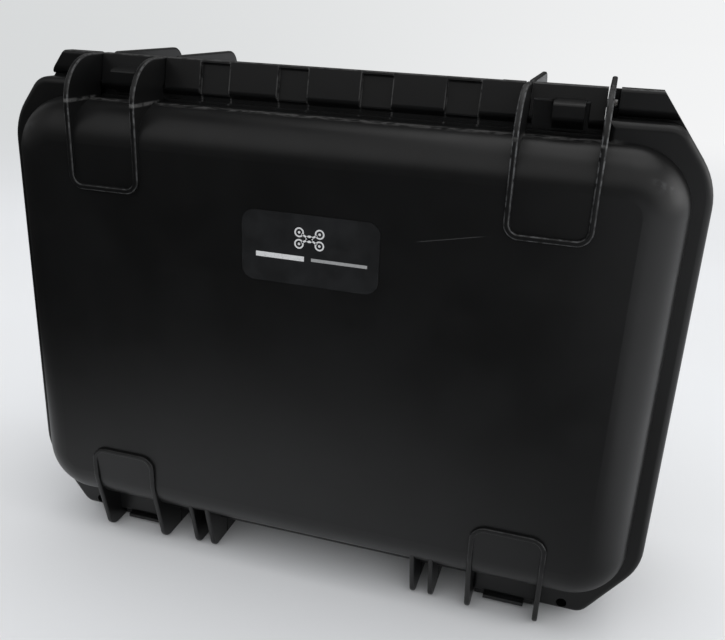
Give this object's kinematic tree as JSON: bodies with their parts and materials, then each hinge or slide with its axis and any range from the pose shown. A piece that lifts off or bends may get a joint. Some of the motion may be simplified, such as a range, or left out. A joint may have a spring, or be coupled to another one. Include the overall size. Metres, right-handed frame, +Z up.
{
  "type": "carrying case",
  "caption": "Hard plastic carrying case with a domed hinged lid, side-by-side latches, a fold-down handle, a rim seal and cut foam for a folding camera aircraft.",
  "frame": {"origin": "on the floor under the middle of the case as it stands on its latch edge", "axes": "+X along the case, +Y from the lid to the base, +Z up to the hinge edge"},
  "size_m": [0.382, 0.128, 0.298],
  "materials": {
    "case_shell": "black satin injection-moulded polypropylene, rubbed lighter on its edges",
    "latch_plastic": "black moulded nylon, fine grain",
    "handle_plastic": "black moulded nylon, fine grain",
    "grip_rubber": "soft black overmould with finger waves",
    "seal_rubber": "smooth black elastomer",
    "foam_soft": "charcoal open-cell foam with an egg-crate face",
    "foam_dense": "charcoal closed-cell foam, cut surfaces",
    "label_film": "black printed film with a plain pictogram",
    "pin_steel": "plain steel pin",
    "valve_plastic": "black moulded nylon"
  },
  "bodies": {
    "base": {"base_shell": "case_shell", "rim_seal": "seal_rubber", "foam_tray": "foam_dense", "foam_floor": "foam_dense", "hinge_pin_left": "pin_steel", "hinge_pin_right": "pin_steel", "latch_pin_left": "pin_steel", "latch_pin_right": "pin_steel", "handle_pin_left": "pin_steel", "handle_pin_right": "pin_steel", "valve_body": "valve_plastic", "valve_cap": "valve_plastic", "valve_seal": "seal_rubber", "valve_nut": "valve_plastic"},
    "lid": {"lid_shell": "case_shell", "lid_foam_pad": "foam_soft", "name_label": "label_film"},
    "latch_left": {"latch_left": "latch_plastic"},
    "latch_right": {"latch_right": "latch_plastic"},
    "handle": {"handle_frame": "handle_plastic", "handle_grip": "grip_rubber"}
  },
  "joints": [
    {"name": "lid_hinge", "type": "hinge", "parent": "base", "child": "lid", "pos_m": [0, -0.026, 0.2905], "axis": [-1, 0, 0], "range_deg": [0, 100]},
    {"name": "latch_left_turn", "type": "hinge", "parent": "base", "child": "latch_left", "pos_m": [-0.1188, -0.014, 0.009], "axis": [1, 0, 0], "range_deg": [0, 100]},
    {"name": "latch_right_turn", "type": "hinge", "parent": "base", "child": "latch_right", "pos_m": [0.1188, -0.014, 0.009], "axis": [1, 0, 0], "range_deg": [0, 100]},
    {"name": "handle_swing", "type": "hinge", "parent": "base", "child": "handle", "pos_m": [0, -0.014, 0.0105], "axis": [-1, 0, 0], "range_deg": [0, 90]}
  ]
}
